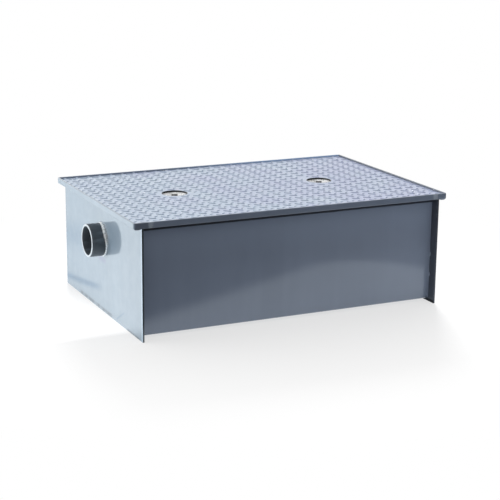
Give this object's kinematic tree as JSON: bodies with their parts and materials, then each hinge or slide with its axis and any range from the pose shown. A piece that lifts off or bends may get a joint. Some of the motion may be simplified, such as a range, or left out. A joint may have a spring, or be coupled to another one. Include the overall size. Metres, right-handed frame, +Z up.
{
  "type": "grease trap",
  "caption": "Low-profile steel grease trap: coated box with pipe stubs at both ends and a recessed tread-plate cover held by bolts in bright cups.",
  "frame": {"origin": "on the floor, under the centre of the tank", "axes": "+X from the inlet to the outlet, -Y the front panel, +Z up"},
  "size_m": [0.952, 0.61, 0.313],
  "materials": {
    "grey_coating": "gloss epoxy coating",
    "tread_coating": "gloss epoxy coating on tread plate",
    "dark_pipe": "dark coating, bright cut end",
    "bright_steel": "bright plated",
    "gasket_rubber": "matt",
    "plug_bronze": "as cast"
  },
  "bodies": {
    "tank": {"trough": "grey_coating", "inlet_end_plate": "grey_coating", "outlet_end_plate": "grey_coating", "rim_front_bar": "grey_coating", "rim_rear_bar": "grey_coating", "rim_inlet_bar": "grey_coating", "rim_outlet_bar": "grey_coating", "inlet_nipple": "dark_pipe", "outlet_nipple": "dark_pipe", "cover_gasket": "gasket_rubber", "inlet_side_crossbar": "grey_coating", "outlet_side_crossbar": "grey_coating", "inlet_side_nut": "bright_steel", "outlet_side_nut": "bright_steel", "inlet_baffle": "grey_coating", "outlet_baffle": "grey_coating", "inlet_guide_front": "grey_coating", "inlet_guide_rear": "grey_coating", "outlet_guide_front": "grey_coating", "outlet_guide_rear": "grey_coating", "trap_hood": "grey_coating", "trap_weir": "grey_coating", "cleanout_plug": "plug_bronze", "air_relief_tube": "bright_steel", "sediment_tray": "bright_steel"},
    "cover": {"cover_plate": "tread_coating", "inlet_side_cup": "bright_steel", "outlet_side_cup": "bright_steel"},
    "inlet_washer": {"inlet_side_washer": "bright_steel"},
    "inlet_bolt": {"inlet_side_bolt": "bright_steel"},
    "outlet_washer": {"outlet_side_washer": "bright_steel"},
    "outlet_bolt": {"outlet_side_bolt": "bright_steel"}
  },
  "joints": [
    {"name": "cover_lift", "type": "slide", "parent": "tank", "child": "cover", "axis": [0, 0, 1], "range_m": [0, 0.1]},
    {"name": "inlet_bolt_rise", "type": "slide", "parent": "cover", "child": "inlet_washer", "axis": [0, 0, 1], "range_m": [0, 0.012]},
    {"name": "inlet_bolt_turn", "type": "hinge", "parent": "inlet_washer", "child": "inlet_bolt", "pos_m": [-0.2225, 0, 0.3088], "axis": [0, 0, 1], "range_deg": [0, 2881]},
    {"name": "outlet_bolt_rise", "type": "slide", "parent": "cover", "child": "outlet_washer", "axis": [0, 0, 1], "range_m": [0, 0.012]},
    {"name": "outlet_bolt_turn", "type": "hinge", "parent": "outlet_washer", "child": "outlet_bolt", "pos_m": [0.2225, 0, 0.3088], "axis": [0, 0, 1], "range_deg": [0, 2881]}
  ],
  "couplings": [
    {"joint": "inlet_bolt_turn", "follows": "inlet_bolt_rise", "rad_per_m": 4188.8},
    {"joint": "outlet_bolt_turn", "follows": "outlet_bolt_rise", "rad_per_m": 4188.8}
  ]
}
